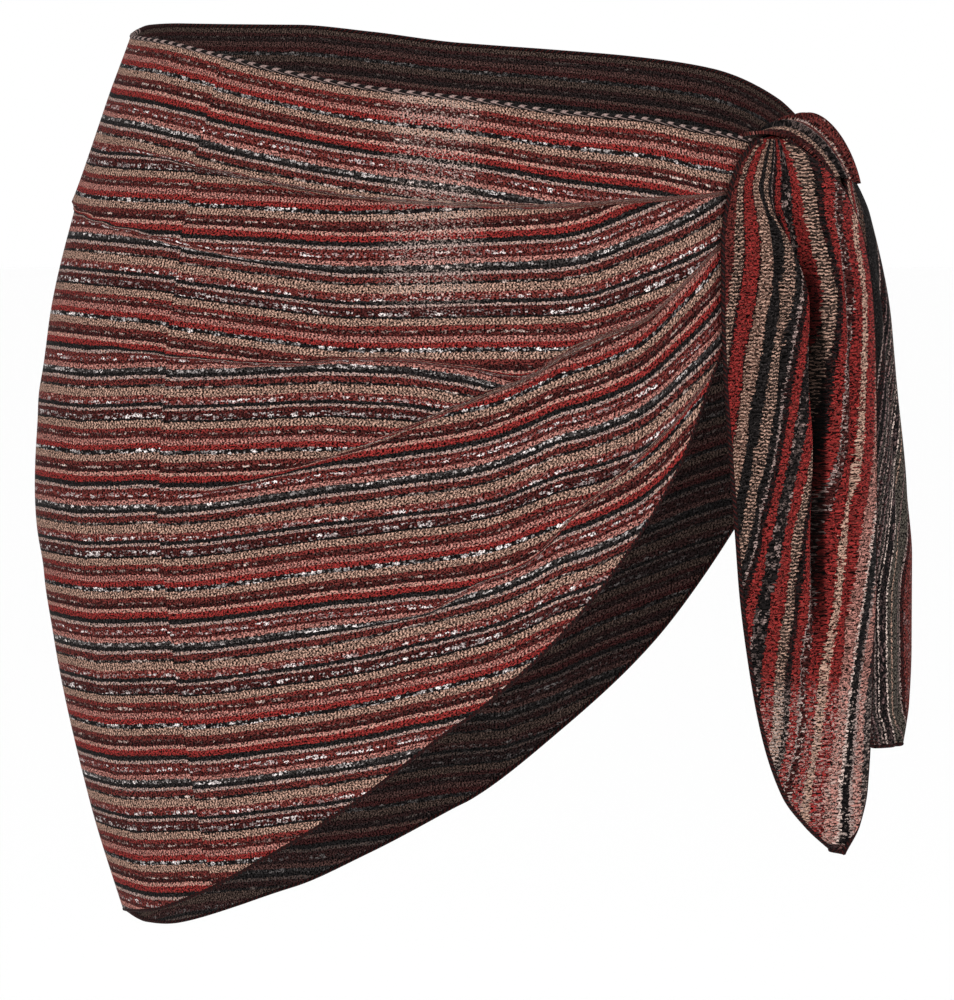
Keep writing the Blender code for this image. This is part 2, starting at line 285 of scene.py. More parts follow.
# The knitter's stripe chart, one repeat. Columns: height in millimetres, ground yarn, fleck yarn,
# how the fleck yarn shows
STRIPES = (
    (3.7, "tan", "brown", "zigzag"),
    (1.7, "maroon", "rose", "dots"),
    (1.8, "maroon", "white", "flecks"),
    (1.9, "black", "charcoal", "plain"),
    (1.1, "dun", "tan", "plain"),
    (1.8, "wine", "maroon", "plain"),
    (2.6, "wine", "white", "flecks"),
    (1.0, "black", "black", "plain"),
    (3.3, "tan", "brown", "zigzag"),
    (1.9, "maroon", "red", "plain"),
    (1.3, "wine", "cream", "flecks"),
    (1.6, "wine", "maroon", "plain"),
    (2.7, "rose", "maroon", "zigzag"),
    (2.7, "red", "maroon", "plain"),
    (2.0, "black", "white", "flecks"),
    (3.1, "tan", "brown", "zigzag"),
    (2.3, "maroon", "wine", "plain"),
    (1.2, "wine", "cream", "flecks"),
    (1.6, "wine", "black", "plain"),
    (1.9, "rose", "tan", "plain"),
    (2.6, "red", "maroon", "plain"),
    (2.5, "black", "charcoal", "plain"),
    (1.4, "dun", "tan", "plain"),
    (1.9, "maroon", "wine", "plain"),
    (1.9, "maroon", "white", "flecks"),
    (1.5, "wine", "maroon", "plain"),
    (2.4, "rose", "maroon", "plain"),
    (1.9, "charcoal", "white", "flecks"),
    (1.8, "black", "charcoal", "plain"),
    (1.4, "dun", "tan", "plain"),
    (3.0, "maroon", "black", "plain"),
    (1.3, "black", "cream", "flecks"),
)
STRIPES_START = 50.3        # flat distance from the waist edge to the first row of a repeat
SLUB = (3.6, 1.8)           # millimetres along and across the cloth, as in the next three
SMALL_SLUB = (1.6, 1.0)
YARN_GRAIN = (0.95, 0.7)
LOOP = (1.1, 1.4)
SLUB_SHARE = 0.42           # the share of places that have a slub
ZIGZAG_PITCH = 1.55         # millimetres along the cloth
CLOTH_ROUGHNESS = 0.9
DULL_GREY = (0.11, 0.10, 0.10)      # what the wrong side's colours turn to


def chart_ramp(tree, place, heights, colours):
    """Colour of each charted row, with hard edges between rows."""
    ramp = add_node(tree, "ShaderNodeValToRGB", {0: place})
    ramp.color_ramp.interpolation = "CONSTANT"
    ramp.color_ramp.elements.remove(ramp.color_ramp.elements[1])
    level = 0.0
    for number, (height, colour) in enumerate(zip(heights, colours)):
        stop = ramp.color_ramp.elements[0] if number == 0 else ramp.color_ramp.elements.new(level)
        stop.position = level
        stop.color = (*colour, 1.0)
        level += height / sum(heights)
    return ramp.outputs[0]


def knots_of_yarn(tree, along, across, run, rise, share):
    """Oval slubs of yarn, about run by rise millimetres apart, in this share of the places for one."""
    place = add_node(tree, "ShaderNodeCombineXYZ",
                     {0: calc(tree, "DIVIDE", along, run), 1: calc(tree, "DIVIDE", across, rise)})
    inputs = {"Vector": place.outputs[0], "Scale": 1.0, "Randomness": 0.75}
    cell = add_node(tree, "ShaderNodeTexVoronoi", inputs, voronoi_dimensions="2D")
    chance = add_node(tree, "ShaderNodeSeparateColor", {0: cell.outputs["Color"]})
    there = ease(tree, chance.outputs[0], share + 0.02, share - 0.02)
    size = ease(tree, chance.outputs[1], 0.0, 1.0, 0.30, 0.48)
    oval = ease(tree, calc(tree, "SUBTRACT", cell.outputs["Distance"], size), 0.06, -0.06)
    return calc(tree, "MULTIPLY", there, oval)


def striped_knit(name, chart, start, ragged=1.3, gap=0.0, shade=1.0, dull=0.0, pale_run=None):
    """Space-dyed knit in charted stripes, with slubs, yarn rows and pores. ragged is how far its loops
    stray from their row, gap how open the zigzag rows are. shade darkens the whole cloth and dull greys it;
    on the wrong side these stand for the knit's duller back and for painted shade where the inside lies in
    shadow. pale_run is where paler flecks show: from and to along the cloth, and how far across it. A fold
    that a piece marks with painted shade is darker."""
    material = bpy.data.materials.new(name)
    material.use_nodes = True
    tree = material.node_tree
    shader = tree.nodes["Principled BSDF"]
    flat = add_node(tree, "ShaderNodeUVMap", {}, uv_map="cloth")
    split = add_node(tree, "ShaderNodeSeparateXYZ", {0: flat.outputs[0]})
    along = calc(tree, "MULTIPLY", split.outputs[0], 1000.0)
    straight = calc(tree, "MULTIPLY", split.outputs[1], 1000.0)
    drift = yarn_noise(tree, along, straight, 14.0, 4.0)
    across = calc(tree, "MULTIPLY_ADD", calc(tree, "SUBTRACT", drift, 0.5), 0.6, straight)
    loops = yarn_noise(tree, along, straight, *LOOP)
    across = calc(tree, "MULTIPLY_ADD", calc(tree, "SUBTRACT", loops, 0.5), ragged, across)

    heights = [row[0] for row in chart]
    place = calc(tree, "FRACT", calc(tree, "DIVIDE", calc(tree, "SUBTRACT", across, start), sum(heights)))
    ground = chart_ramp(tree, place, heights, [YARN[row[1]] for row in chart])
    fleck = chart_ramp(tree, place, heights, [YARN[row[2]] for row in chart])
    ways = {"plain": (0, 0, 0), "flecks": (1, 0, 0), "zigzag": (0, 1, 0), "dots": (0, 0, 1)}
    way = chart_ramp(tree, place, heights, [ways[row[3]] for row in chart])
    way = add_node(tree, "ShaderNodeSeparateColor", {0: way})

    run_of_flecks = yarn_noise(tree, along, straight, 26.0, 3.0)
    share = ease(tree, run_of_flecks, 0.38, 0.66, 0.25, 0.9)
    slubs = knots_of_yarn(tree, along, across, *SLUB, SLUB_SHARE)
    small = knots_of_yarn(tree, along, across, *SMALL_SLUB, SLUB_SHARE)
    flecks = calc(tree, "MAXIMUM", slubs, calc(tree, "MULTIPLY", small, 0.55))
    flecks = calc(tree, "MULTIPLY", flecks, share)
    wave = calc(tree, "PINGPONG", across, 1.1)
    slant = calc(tree, "MULTIPLY_ADD", wave, 0.75, along)
    leg = calc(tree, "SINE", calc(tree, "MULTIPLY", slant, 2 * math.pi / ZIGZAG_PITCH))
    zigzag = ease(tree, leg, -gap, 0.7 - gap, 0.0, 0.85 + 0.15 * gap)
    mottle = ease(tree, yarn_noise(tree, along, across, 1.5, 0.8), 0.50, 0.62, 0.0, 0.8)
    special = calc(tree, "MULTIPLY", way.outputs[0], flecks)
    special = calc(tree, "MULTIPLY_ADD", way.outputs[1], zigzag, special)
    special = calc(tree, "MULTIPLY_ADD", way.outputs[2], small, special)
    busy = calc(tree, "ADD", calc(tree, "ADD", way.outputs[0], way.outputs[1]), way.outputs[2])
    shown = calc(tree, "MULTIPLY_ADD", calc(tree, "SUBTRACT", 1.0, busy), mottle, special)
    if pale_run:
        low, high, deep = pale_run
        from_low, to_high = ease(tree, along, low - 9, low + 6), ease(tree, along, high + 9, high - 6)
        patch = calc(tree, "MULTIPLY", from_low, to_high)
        patch = calc(tree, "MULTIPLY", patch, ease(tree, straight, deep + 12, deep - 12))
        paler = calc(tree, "MULTIPLY", patch, 0.6)
        inputs = {"Factor": paler, "A": fleck, "B": (*YARN["cream"], 1.0)}
        fleck = add_node(tree, "ShaderNodeMix", inputs, data_type="RGBA").outputs["Result"]
        more = calc(tree, "MULTIPLY", calc(tree, "MULTIPLY", patch, small), 0.36)
        shown = calc(tree, "MAXIMUM", shown, more)
    inputs = {"Factor": shown, "A": ground, "B": fleck}
    yarn = add_node(tree, "ShaderNodeMix", inputs, data_type="RGBA")
    if dull:
        inputs = {"Factor": dull, "A": yarn.outputs["Result"], "B": (*DULL_GREY, 1.0)}
        yarn = add_node(tree, "ShaderNodeMix", inputs, data_type="RGBA")

    grain = yarn_noise(tree, along, across, *YARN_GRAIN, 2.0)
    lit = ease(tree, grain, 0.38, 0.64, 0.0, 1.6 * shade)
    # Painted shade: the colour is darkened, down to 0.12 at full depth, where a piece marks a fold.
    painted_fold_shade = add_node(tree, "ShaderNodeAttribute", {}, attribute_name="painted_fold_shade")
    lit = calc(tree, "MULTIPLY", lit, ease(tree, painted_fold_shade.outputs["Fac"], 0.0, 1.0, 1.0, 0.12))
    inputs = {0: yarn.outputs["Result"], "Scale": lit}
    colour = add_node(tree, "ShaderNodeVectorMath", inputs, operation="SCALE")
    tree.links.new(colour.outputs[0], shader.inputs["Base Color"])
    shader.inputs["Roughness"].default_value = CLOTH_ROUGHNESS
    shader.inputs["Specular IOR Level"].default_value = 0.05

    relief = calc(tree, "MULTIPLY_ADD", shown, 0.4, grain)
    raised = add_node(tree, "ShaderNodeBump", {"Strength": 0.7, "Distance": 0.0005, "Height": relief})
    tree.links.new(raised.outputs[0], shader.inputs["Normal"])
    return material


def ride_and_slot(piece, *nodes):
    """The piece rides on the part and stands for its CAD nodes."""
    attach(piece, "root")
    if nodes:
        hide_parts(*nodes)


def edge_roll(name, path, radius, material):
    """Overlocked edge: a narrow roll of thread along a path in millimetres."""
    tangent = np.gradient(path, axis=0)
    tangent /= np.linalg.norm(tangent, axis=1)[:, None]
    outward = path * np.array([1.0, 1.6, 0.0])
    side = np.cross(tangent, outward)
    side /= np.linalg.norm(side, axis=1)[:, None]
    up = np.cross(side, tangent)
    sides = 8
    turns = np.linspace(0, 2 * math.pi, sides, endpoint=False)
    rings = path[:, None] + radius * (np.cos(turns)[None, :, None] * up[:, None]
                                      + np.sin(turns)[None, :, None] * side[:, None])
    count = len(path)
    index = np.arange(count * sides).reshape(count, sides)
    after = np.roll(index, -1, axis=1)
    quads = np.stack([index[:-1], after[:-1], after[1:], index[1:]], axis=-1).reshape(-1, 4)
    faces = quads.tolist() + [index[0][::-1].tolist(), index[-1].tolist()]
    mesh = bpy.data.meshes.new(name)
    mesh.from_pydata((rings.reshape(-1, 3) * MM).tolist(), [], faces)
    mesh.shade_smooth()
    run = np.repeat(arc_length(path), sides)
    turn = np.tile(turns * radius, count)
    flat = np.stack([run, turn], axis=-1) * MM
    loops = np.array([corner for face in faces for corner in face])
    mesh.uv_layers.new(name="cloth").data.foreach_set("uv", flat[loops].ravel())
    mesh.materials.append(material)
    mesh.update()
    piece = bpy.data.objects.new(name, mesh)
    bpy.context.scene.collection.objects.link(piece)
    ride_and_slot(piece)
    return piece


def overlock_thread(name, light, dark, pitch, share):
    """Thread whipped slantwise round an edge, light stitches over dark cloth."""
    material = bpy.data.materials.new(name)
    material.use_nodes = True
    tree = material.node_tree
    shader = tree.nodes["Principled BSDF"]
    flat = add_node(tree, "ShaderNodeUVMap", {}, uv_map="cloth")
    split = add_node(tree, "ShaderNodeSeparateXYZ", {0: flat.outputs[0]})
    along = calc(tree, "MULTIPLY", split.outputs[0], 1000.0)
    round_edge = calc(tree, "MULTIPLY", split.outputs[1], 1000.0)
    slant = calc(tree, "MULTIPLY_ADD", round_edge, 0.9, along)
    stitch = calc(tree, "SINE", calc(tree, "MULTIPLY", slant, 2 * math.pi / pitch))
    shown = ease(tree, stitch, share - 0.25, share + 0.25)
    fibre = yarn_noise(tree, along, round_edge, 0.9, 0.5, 2.0)
    inputs = {"Factor": shown, "A": (*YARN[dark], 1.0), "B": (*YARN[light], 1.0)}
    mixed = add_node(tree, "ShaderNodeMix", inputs, data_type="RGBA")
    lit = ease(tree, fibre, 0.3, 0.7, 0.35, 1.4)
    inputs = {0: mixed.outputs["Result"], "Scale": lit}
    colour = add_node(tree, "ShaderNodeVectorMath", inputs, operation="SCALE")
    tree.links.new(colour.outputs[0], shader.inputs["Base Color"])
    shader.inputs["Roughness"].default_value = CLOTH_ROUGHNESS
    shader.inputs["Specular IOR Level"].default_value = 0.06
    relief = calc(tree, "MULTIPLY_ADD", stitch, 0.5, fibre)
    raised = add_node(tree, "ShaderNodeBump", {"Strength": 0.7, "Distance": 0.0005, "Height": relief})
    tree.links.new(raised.outputs[0], shader.inputs["Normal"])
    return material


WIDEST_HEIGHT = -180.0      # the hip's widest place
SEAM_ANGLE = 131.5          # the side seam
WAIST_SHADE_FROM = 186            # the pale whipping shows this far round; past it the waist roll is dark thread as painted shade, the far edge being seen from inside in shadow
degrees_round = np.arange(0.0, 361.0)
hip_line = arc_length(hip_points(degrees_round, WIDEST_HEIGHT + 0 * degrees_round, CLOTH_OUT))


def round_hip(angle):
    """Flat distance along the stripes, from the knot side round the front."""
    return np.interp(angle, degrees_round, hip_line)


def wrap_stretch(name, start, end, columns, rows, stripe_step, materials):
    """A stretch of the wrap between two angles, from waist edge to hem, on its own fine grid."""
    angle = np.linspace(start, end, columns)[:, None]
    share = np.linspace(0, 1, rows)[None]
    top = column(WRAP_EDGES, 1, angle)
    height = top + (column(WRAP_EDGES, 2, angle) - top) * share
    angle = angle + 0 * share
    relief, hidden = wrap_relief(angle, height)
    across = hanging_cloth(angle, height) + hidden + stripe_step
    outer = hip_points(angle, height, relief + CLOTH_OUT)
    inner = hip_points(angle, height, relief + CLOTH_IN)
    piece = cloth_wall(name, outer, inner, round_hip(angle), across, materials)
    ride_and_slot(piece, name)
    middle = (outer + inner) / 2
    waist = middle[:, 0] + [0, 0, 0.2]
    shown = int(np.searchsorted(angle[:, 0], WAIST_SHADE_FROM))
    rolls = [edge_roll(name + "_waist_roll", waist[:shown + 1], 1.1, waist_thread),
             edge_roll(name + "_hem_roll", middle[:, -1], 0.95, dark_thread_and_shade)]
    # Painted shade: past that angle the far waist edge takes the dark thread instead of the pale whipping.
    if shown < columns:
        rolls.append(edge_roll(name + "_shaded_waist_roll", waist[shown:], 1.0, dark_thread_and_shade))
    return piece, rolls


waist_thread = overlock_thread("waist_thread", "dun", "black", 5.9, 0.25)
# Dark thread for the hems and tail edges, and as painted shade on the far waist edge.
dark_thread_and_shade = overlock_thread("dark_thread_and_shade", "wine", "black", 2.4, 0.3)
middle_front_run = (float(round_hip(88.5)), float(round_hip(98.5)), 125.0)
front_cloth = striped_knit("front_cloth", STRIPES, STRIPES_START, pale_run=middle_front_run)
# The inside faces: the knit darkened and greyed, partly as its duller back and partly as painted shade, for
# the skirt's inside lies in shadow.
shaded_wrong_side = striped_knit("shaded_wrong_side", STRIPES, STRIPES_START, shade=0.38, dull=0.4)
front_panel, front_rolls = wrap_stretch("front_panel", WRAP_EDGES[0][0], SEAM_ANGLE, columns=190,
                                        rows=225, stripe_step=0.0,
                                        materials=(front_cloth, shaded_wrong_side))

# The back stretch: the same knit, from the side seam round the far hip and the whole back to the
# knot. The seam joins it to the front, whose stripes sit a little lower there.
back_cloth = striped_knit("back_cloth", STRIPES, STRIPES_START)
SEAM_GAP, SEAM_STEP = 0.05, 1.3     # degrees between the stretches, millimetres the stripes step
back_panel, back_rolls = wrap_stretch("back_panel", SEAM_ANGLE + SEAM_GAP, WRAP_EDGES[-1][0],
                                      columns=300, rows=150, stripe_step=SEAM_STEP,
                                      materials=(back_cloth, shaded_wrong_side))

# The knot's inside: the two gathered necks of the cloth, crushed into a lump between the ends of the front
# and back stretches. It shows as crinkled cloth below the pleated turn, its knit darkened with painted
# shade.
CORE_OUT, CORE_HEIGHT, CORE_DROP = 3.0, -49.0, 4.0
CORE_ENDS = (-11.8, 36.8)
CORE_HALF_OUT = (5.0, 11.0)         # at its ends, in its middle
CORE_HALF_HIGH = (26.0, 28.5)


def core_sizes(angle):
    """Half size outwards, half height and height of the middle of the core's cut."""
    swell = blend(CORE_ENDS[0], 1, angle) * (1 - blend(25, CORE_ENDS[1], angle))
    half_out = CORE_HALF_OUT[0] + (CORE_HALF_OUT[1] - CORE_HALF_OUT[0]) * swell
    half_high = CORE_HALF_HIGH[0] + (CORE_HALF_HIGH[1] - CORE_HALF_HIGH[0]) * swell
    return half_out, half_high, CORE_HEIGHT - CORE_DROP * blend(15, CORE_ENDS[1], angle)


def core_points(angle, turn, grow):
    """Points on the core's cut, turn degrees round from straight out, grown outwards."""
    half_out, half_high, middle = core_sizes(angle)
    out = CORE_OUT + (half_out + grow) * np.cos(np.radians(turn))
    height = middle + (half_high + grow) * np.sin(np.radians(turn))
    return hip_points(angle + 0 * turn, height, out)


def clear_of_core(angle, height, out):
    """The given stand-off, or more where the core is in the way."""
    half_out, half_high, middle = core_sizes(angle)
    rise = np.clip((height - middle) / half_high, -1, 1)
    near = (np.abs(rise) < 1) & (angle > CORE_ENDS[0] - 1) & (angle < CORE_ENDS[1] + 1)
    over = CORE_OUT + half_out * np.sqrt(1 - rise * rise) + 1.3
    return np.where(near, np.maximum(out, over), out)


def knot_core():
    """The crushed necks: a closed lump whose crinkles run along the cloth into the two stretches."""
    columns, sides = 60, 72
    angle = np.linspace(CORE_ENDS[0], CORE_ENDS[1], columns)[:, None]
    turn = np.linspace(0, 360, sides, endpoint=False)[None]
    crinkle = 0.7 * np.sin(np.radians(turn * 9 + 40 * np.sin(np.radians(angle * 5)))) - 0.5
    points = core_points(angle, turn, crinkle * np.ones_like(angle))
    index = np.arange(columns * sides).reshape(columns, sides)
    after = np.roll(index, -1, axis=1)
    quads = np.stack([index[:-1], after[:-1], after[1:], index[1:]], axis=-1).reshape(-1, 4)
    faces = quads.tolist() + [index[0][::-1].tolist(), index[-1].tolist()]
    mesh = bpy.data.meshes.new("knot_core_cloth")
    mesh.from_pydata((points.reshape(-1, 3) * MM).tolist(), [], faces)
    mesh.shade_smooth()
    flat = np.stack([round_hip(angle + 12) + 0 * turn, turn * 0.34 + 0 * angle], axis=-1)
    flat = flat.reshape(-1, 2) * MM
    loops = np.array([corner for face in faces for corner in face])
    mesh.uv_layers.new(name="cloth").data.foreach_set("uv", flat[loops].ravel())
    # Painted shade: the lump's knit is darkened to under half, as it lies deep in the knot.
    mesh.materials.append(striped_knit("shaded_crushed_cloth", STRIPES, 0.0, shade=0.45))
    mesh.update()
    piece = bpy.data.objects.new("knot_core_cloth", mesh)
    bpy.context.scene.collection.objects.link(piece)
    ride_and_slot(piece, "knot_core")


knot_core()

# The turn of cloth over the knot: the back stretch's end, pleated narrow, comes over the top of
# the lump from inside the waist and is tucked under below. Its stripes run over with it.
TURN_PLEAT, TURN_PLEATS = 1.1, 6    # half height of a pleat, number of pleats
TURN_OUT, TURN_THICK = 3.9, 1.4     # how far it stands off the lump, its thickness
TURN_TUCKED = 1.6                   # how much closer its left end lies
TURN_TOP = 150.0                    # where it starts round the lump's cut, inside the waist
TURN_LEFT_END = (50, 24)            # its left end's angle, behind and at the lower edge
# Columns: angle round the body, where its lower edge lies round the core's cut
TURN_EDGE = (
    (-11, 2),
    (0, 4),
    (8, 6),
    (17, 9),
    (24, 17),
    (30, 28),
    (37, 42),
)
# The stripes that fan out over it from its left end, as columns of the stripe chart
FAN_STRIPES = (
    (3.0, "wine", "black", "plain"),
    (3.6, "tan", "black", "zigzag"),
    (3.0, "black", "dun", "flecks"),
    (1.6, "charcoal", "dun", "plain"),
    (3.4, "maroon", "wine", "plain"),
    (1.0, "dun", "tan", "plain"),
    (2.6, "wine", "maroon", "plain"),
    (4.0, "red", "maroon", "plain"),
    (1.1, "rose", "dun", "plain"),
    (2.6, "maroon", "wine", "plain"),
    (1.8, "black", "wine", "plain"),
    (3.6, "red", "maroon", "plain"),
    (1.2, "dun", "rose", "plain"),
    (3.0, "wine", "maroon", "plain"),
    (3.2, "tan", "maroon", "zigzag"),
    (3.8, "red", "maroon", "plain"),
    (1.2, "rose", "dun", "plain"),
    (2.6, "maroon", "wine", "plain"),
    (1.0, "cream", "rose", "plain"),
    (3.0, "red", "maroon", "plain"),
    (1.1, "tan", "maroon", "plain"),
    (6.0, "maroon", "rose", "flecks"),
)
FAN_WIDTH = 50.0                    # flat millimetres of cloth across the fan


def knot_turn():
    """The pleated turn as a thin wall over the core, its pleats fanning out from its lower edge."""
    columns, rows = 140, 70
    low = TURN_EDGE[0][0]
    place = np.linspace(0, 1, columns)[:, None]
    down = np.linspace(0, 1, rows)[None]
    high = TURN_LEFT_END[0] + (TURN_LEFT_END[1] - TURN_LEFT_END[0]) * down
    angle = low + (high - low) * place
    turn = TURN_TOP + (column(TURN_EDGE, 1, angle) - TURN_TOP) * down
    pleat = TURN_PLEAT * np.interp(TURN_PLEATS * place % 1.0, (0, 0.16, 1), (1, -1, 1))
    grow = TURN_OUT + pleat * blend(0, 0.06, place) - TURN_TUCKED * blend(0.88, 1, place)
    outer = core_points(angle, turn, grow)
    inner = core_points(angle, turn, grow - TURN_THICK)
    along = (TURN_TOP - turn) * 0.55
    across = (1 - place) * FAN_WIDTH + 0 * turn
    piece = cloth_wall("knot_turn", outer, inner, along, across, (turn_cloth, shaded_wrong_side))
    ride_and_slot(piece, "knot_band")


turn_cloth = striped_knit("turn_cloth", FAN_STRIPES, 0.0, ragged=1.8, gap=0.3, shade=0.95)
knot_turn()

# The front tail: one pointed end of the cloth, gathered into the knot and hanging in two rolls with one
# deep valley between them, its raw edges overlocked in dark thread. The valley is darkened with painted
# shade. It is knitted with the rest, but here the chart's rows are broader and run down it, a little
# slantwise.
TAIL_OUT = (3.4, 14.0)      # how far it stands off the hip at its left edge and at its right
TAIL_ROUND = 11.0           # how far its rolls swell
RIGHT_EDGE_REACH = 16.0     # the stand-off at which its right edge is placed

# Columns: height, left edge x, right edge x, and the flat places of the cloth in its stripes' chart
# at the left edge, left of the valley, right of the valley and at the right edge
FRONT_TAIL = (
    (-27, 126, 140, -3.5, 12, 44.2, 46),
    (-33, 121, 147, -3.5, 13, 44.2, 48),
    (-40, 117, 155, -3.5, 14, 44.2, 51),
    (-50, 114, 163, -3.8, 18, 44.2, 56),
    (-70, 111, 171, -4.0, 26, 44.2, 64),
    (-97, 111, 175, -0.8, 34.5, 44.2, 65),
    (-127, 112, 176, 4, 39.5, 48.5, 66.5),
    (-157, 114, 176, 10, 46, 50.5, 67.5),
    (-195, 117, 176, 20, 53.5, 57, 72.5),
    (-220, 119, 176, 29, 54.5, 58, 76),
    (-250, 123, 175, 36, 58, 62, 80),
    (-281, 129, 175, 42, 62, 66, 83),
    (-307, 138, 174.5, 55, 68.5, 71.5, 83),
    (-322, 149, 172, 64, 71.5, 73.5, 80),
    (-333, 160, 166, 73, 74.4, 74.8, 76),
)
# As columns of the stripe chart
TAIL_STRIPES = (
    (4.0, "maroon", "black", "plain"),
    (3.6, "tan", "black", "zigzag"),
    (0.7, "black", "wine", "plain"),
    (5.8, "red", "maroon", "plain"),
    (0.6, "black", "wine", "plain"),
    (4.9, "tan", "brown", "zigzag"),
    (4.6, "black", "charcoal", "plain"),
    (4.7, "tan", "black", "zigzag"),
    (2.8, "black", "charcoal", "plain"),
    (0.7, "dun", "charcoal", "plain"),
    (2.2, "black", "wine", "plain"),
    (3.6, "red", "maroon", "plain"),
    (5.4, "black", "dun", "flecks"),
    (4.6, "red", "maroon", "plain"),
    (3.6, "tan", "black", "zigzag"),
    (2.4, "black", "wine", "plain"),
    (3.2, "red", "maroon", "plain"),
    (0.7, "dun", "charcoal", "plain"),
    (2.4, "wine", "dun", "dots"),
    (3.8, "red", "wine", "plain"),
    (3.0, "tan", "maroon", "dots"),
    (4.5, "red", "maroon", "plain"),
    (4.2, "rose", "brown", "plain"),
    (0.9, "cream", "rose", "plain"),
    (3.0, "black", "charcoal", "dots"),
    (1.1, "dun", "brown", "dots"),
    (3.3, "rose", "brown", "plain"),
    (6.0, "black", "wine", "plain"),
)
# The valley between the lobes. Columns: height, its place across the width, its depth, half width
VALLEY = (
    (-30, 0.49, 2.0, 0.200),
    (-45, 0.45, 4.0, 0.190),
    (-57, 0.51, 8.0, 0.130),
    (-70, 0.60, 12.0, 0.078),
    (-97, 0.67, 13.0, 0.050),
    (-127, 0.66, 11.0, 0.065),
    (-157, 0.65, 9.0, 0.050),
    (-195, 0.61, 7.0, 0.055),
    (-220, 0.59, 4.5, 0.055),
    (-250, 0.57, 1.5, 0.060),
    (-285, 0.55, 0.0, 0.060),
)
# Slighter creases. Columns: depth, half width, then the line as (height, place) points
TAIL_CREASES = (
    (2.2, 0.022, ((-57, 0.35), (-75, 0.37), (-100, 0.40), (-135, 0.36))),
    (1.8, 0.025, ((-80, 0.85), (-130, 0.86), (-190, 0.84), (-240, 0.80))),
    (1.6, 0.025, ((-110, 0.13), (-170, 0.17), (-230, 0.24))),
    (1.4, 0.030, ((-190, 0.40), (-245, 0.43), (-300, 0.46))),
)


def tail_points(angle, height, out):
    """Points on a tail: along the hip form to its widest place, then straight down."""
    points = hip_points(angle, np.maximum(height, WIDEST_HEIGHT), out)
    points[..., 2] = height
    return points


def tail_angle(x, height, out):
    """Angle on the knot side's front where a tail reaches x."""
    reach = column(HIP_FORM, 2, np.maximum(height, WIDEST_HEIGHT)) + out
    return np.degrees(np.arccos(np.minimum(x / reach, 1.0) ** (ROUNDNESS / 2)))


def front_tail():
    """The tail as a thin wall, its stripes continuous across the valley, whose depth is darkened with
    painted shade.
    """
    columns, rows = 150, 220
    place = np.linspace(0, 1, columns)[:, None]
    step = np.linspace(0, 1, rows)[None]
    height = FRONT_TAIL[0][0] + (FRONT_TAIL[-1][0] - FRONT_TAIL[0][0]) * (0.25 * step**2 + 0.75 * step)
    left, right = column(FRONT_TAIL, 1, height), column(FRONT_TAIL, 2, height)
    start, end = tail_angle(left, height, TAIL_OUT[0]), tail_angle(right, height, RIGHT_EDGE_REACH)
    angle = start + (end - start) * place
    height = height + 0 * place
    opened = blend(5, 60, right - left) * (1 - 0.3 * blend(-230, -333, height))
    swell = TAIL_ROUND * blend(0.0, 0.14, place) * blend(1.35, 0.5, place)
    out = TAIL_OUT[0] + (TAIL_OUT[1] - TAIL_OUT[0]) * blend(0.15, 1.0, place) + opened * swell
    over = (tail_points(angle, height, out)[..., 0] - left) / (right - left)
    middle, half_width = column(VALLEY, 1, height), column(VALLEY, 3, height)
    out = out - opened * column(VALLEY, 2, height) * np.exp(-np.abs((over - middle) / half_width) ** 1.6)
    for depth, width, line in TAIL_CREASES:
        first, last = line[0][0], line[-1][0]
        ends = blend(first + 10, first - 6, height) * blend(last - 12, last + 6, height)
        out = out - depth * opened * ends * bump(over - column(line, 1, height), width)
    out = clear_of_core(angle, height, out)
    outer = tail_points(angle, height, out + CLOTH_OUT)
    inner = tail_points(angle, height, out + CLOTH_IN)
    valley_left, valley_right = middle - half_width, middle + half_width
    flat = [column(FRONT_TAIL, number, height) for number in (3, 4, 5, 6)]
    across = np.where(over < middle, flat[0] + (flat[1] - flat[0]) * over / valley_left,
                      flat[2] + (flat[3] - flat[2]) * (over - valley_right) / (1 - valley_right))
    share = (over - valley_left) / (2 * half_width)
    across = np.where((share > 0) & (share < 1), flat[1] + (flat[2] - flat[1]) * share, across)
    # Painted shade in the valley: darkest across its middle, fading out towards the knot above and towards
    # the tip below.
    painted_fold_shade = blend(0.52, 0.28, np.abs(share - 0.6)) * blend(-262, -205, height)
    painted_fold_shade = painted_fold_shade * (0.35 * blend(-48, -64, height) + 0.65 * blend(-72, -96, height))
    piece = cloth_wall("front_tail_cloth", outer, inner, -height, across,
                       (front_tail_knit, shaded_wrong_side), painted_fold_shade)
    ride_and_slot(piece, "front_tail")
    edge = (outer + inner) / 2
    outline = np.concatenate((edge[0, :-1], edge[:, -1], edge[-1, -2::-1]))
    roll = edge_roll("front_tail_roll", outline, 1.0, dark_thread_and_shade)


front_tail_knit = striped_knit("front_tail_knit", TAIL_STRIPES, -4.0, ragged=2.8, gap=0.5, shade=0.9,
                               pale_run=(262.0, 345.0, 200.0))
front_tail()

# The rear tail: the other pointed end, from under the knot's turn, hanging as a hollow arch at the
# side of the hip behind the front tail. It ends in a blunt tip.
REAR_EDGE_OUT = 8.0         # how far its edges stand off the hip

# Columns: height, how far its crest stands out, front and back angle
REAR_TAIL = (
    (-43, 14.5, 15, -8.5),
    (-50, 17.0, 16, -9.5),
    (-60, 19.0, 14.5, -12),
    (-100, 20.5, 15, -16),
    (-140, 19.5, 19, -18),
    (-180, 21.0, 21, -19),
    (-210, 23.5, 21, -19),
    (-250, 23.5, 20, -17),
    (-275, 22.5, 18, -13),
    (-283, 21.5, 14, -9),
    (-292, 20.0, 9.6, -2),
)
# Its lengthwise valleys. Columns: place across the width, depth, half width
REAR_VALLEYS = (
    (0.30, 3.0, 0.05),
    (0.52, 2.0, 0.04),
    (0.70, 4.0, 0.06),
)
